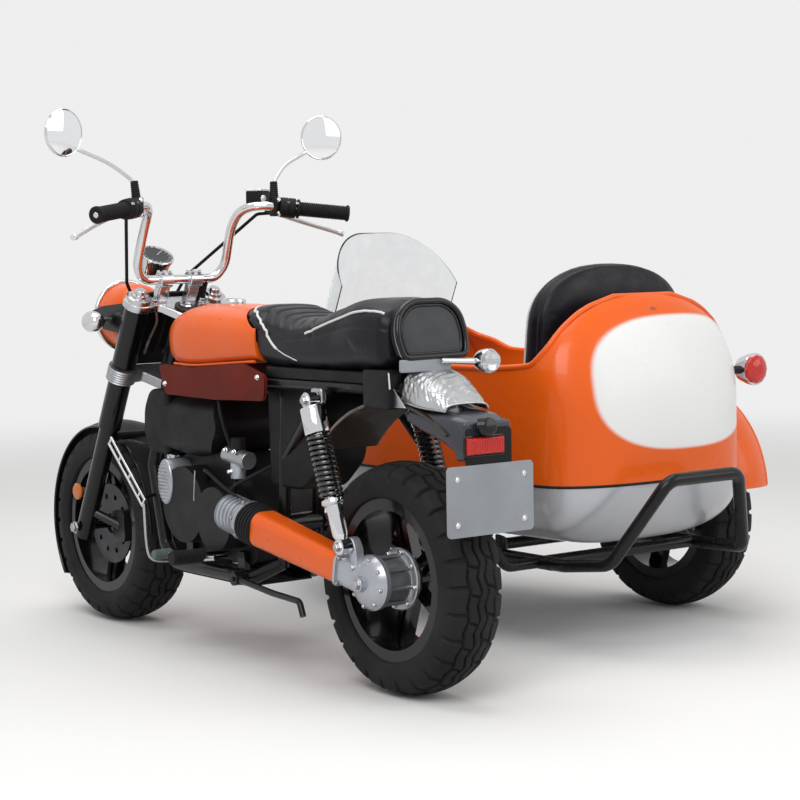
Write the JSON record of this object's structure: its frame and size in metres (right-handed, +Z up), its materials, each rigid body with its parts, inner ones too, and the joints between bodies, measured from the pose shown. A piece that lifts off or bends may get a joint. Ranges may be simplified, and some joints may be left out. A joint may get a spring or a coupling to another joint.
{
  "type": "motorcycle and sidecar combination",
  "caption": "Small shaft-drive motorcycle with fat tyres, raised handlebar and a rounded one-seat sidecar with windscreen fixed to its right side.",
  "frame": {"origin": "on the ground under the middle of the whole vehicle", "axes": "+X forward, +Y to the rider's left, +Z up"},
  "size_m": [1.7624, 1.6417, 1.2529],
  "materials": {
    "orange": "gloss",
    "dark_orange": "gloss",
    "black_paint": "satin",
    "black_plastic": "satin",
    "aluminium": "satin",
    "silver_paint": "satin",
    "chrome": "polished",
    "steel": "brushed",
    "seat_leather": "grained",
    "gloss_black": "gloss",
    "rubber": "matte",
    "tyre_rubber": "matte",
    "red_lens": "gloss",
    "lamp_glass": "clear",
    "clear_screen": "clear",
    "plate_white": "satin",
    "cable_black": "satin"
  },
  "bodies": {
    "chassis": {"frame": "black_paint", "engine_case": "black_plastic", "cylinder": "aluminium", "engine_cover": "black_plastic", "fuel_tank": "orange", "side_panels": "dark_orange", "seat": "seat_leather", "tail_pad": "gloss_black", "rear_mudguard": "black_plastic", "tail_cover": "silver_paint", "tail_bracket": "black_plastic", "tail_lamp": "red_lens", "number_plate": "plate_white", "rear_signal": "chrome", "shaft_tunnel": "orange", "boot": "rubber", "gearbox_output": "aluminium", "final_drive": "aluminium", "swing_arm": "black_paint", "shock_bodies": "chrome", "shock_springs": "black_plastic", "foot_controls": "black_plastic", "belly_plate": "black_plastic", "exhaust": "black_plastic", "sidecar_frame": "black_paint", "sidecar_arm": "black_paint", "guard_bar": "black_paint", "tub_upper": "orange", "tub_lower": "silver_paint", "sidecar_cushion": "seat_leather", "sidecar_backrest": "seat_leather", "windscreen": "clear_screen", "sidecar_mudguard": "orange", "sidecar_lamp": "red_lens"},
    "steering": {"fork": "black_paint", "yokes": "aluminium", "handlebar": "chrome", "grips": "rubber", "controls": "black_plastic", "mirrors": "chrome", "headlamp": "orange", "headlamp_lens": "lamp_glass", "front_signals": "chrome", "speedometer": "chrome", "front_mudguard": "black_plastic", "cables": "cable_black", "brake_caliper": "aluminium"},
    "front_wheel": {"front_tyre": "tyre_rubber", "front_rim": "black_paint", "front_disc": "steel"},
    "rear_wheel": {"rear_tyre": "tyre_rubber", "rear_rim": "black_paint"},
    "sidecar_wheel": {"sidecar_tyre": "tyre_rubber", "sidecar_rim": "black_paint"},
    "side_stand": {"side_stand": "black_paint"}
  },
  "joints": [
    {"name": "steering", "type": "hinge", "parent": "chassis", "child": "steering", "pos_m": [0.56105, 0.41413, 0.22357], "axis": [-0.454, 0, 0.891], "range_deg": [-35, 35]},
    {"name": "front_wheel_roll", "type": "hinge", "parent": "steering", "child": "front_wheel", "pos_m": [0.60115, 0.41413, 0.244], "axis": [0, 1, 0], "continuous": true},
    {"name": "rear_wheel_roll", "type": "hinge", "parent": "chassis", "child": "rear_wheel", "pos_m": [-0.59885, 0.41413, 0.244], "axis": [0, 1, 0], "continuous": true},
    {"name": "sidecar_wheel_roll", "type": "hinge", "parent": "chassis", "child": "sidecar_wheel", "pos_m": [-0.19285, -0.74087, 0.244], "axis": [0, 1, 0], "continuous": true},
    {"name": "side_stand_swing", "type": "hinge", "parent": "chassis", "child": "side_stand", "pos_m": [-0.11885, 0.53313, 0.198], "axis": [0, -1, 0], "range_deg": [0, 34]}
  ]
}
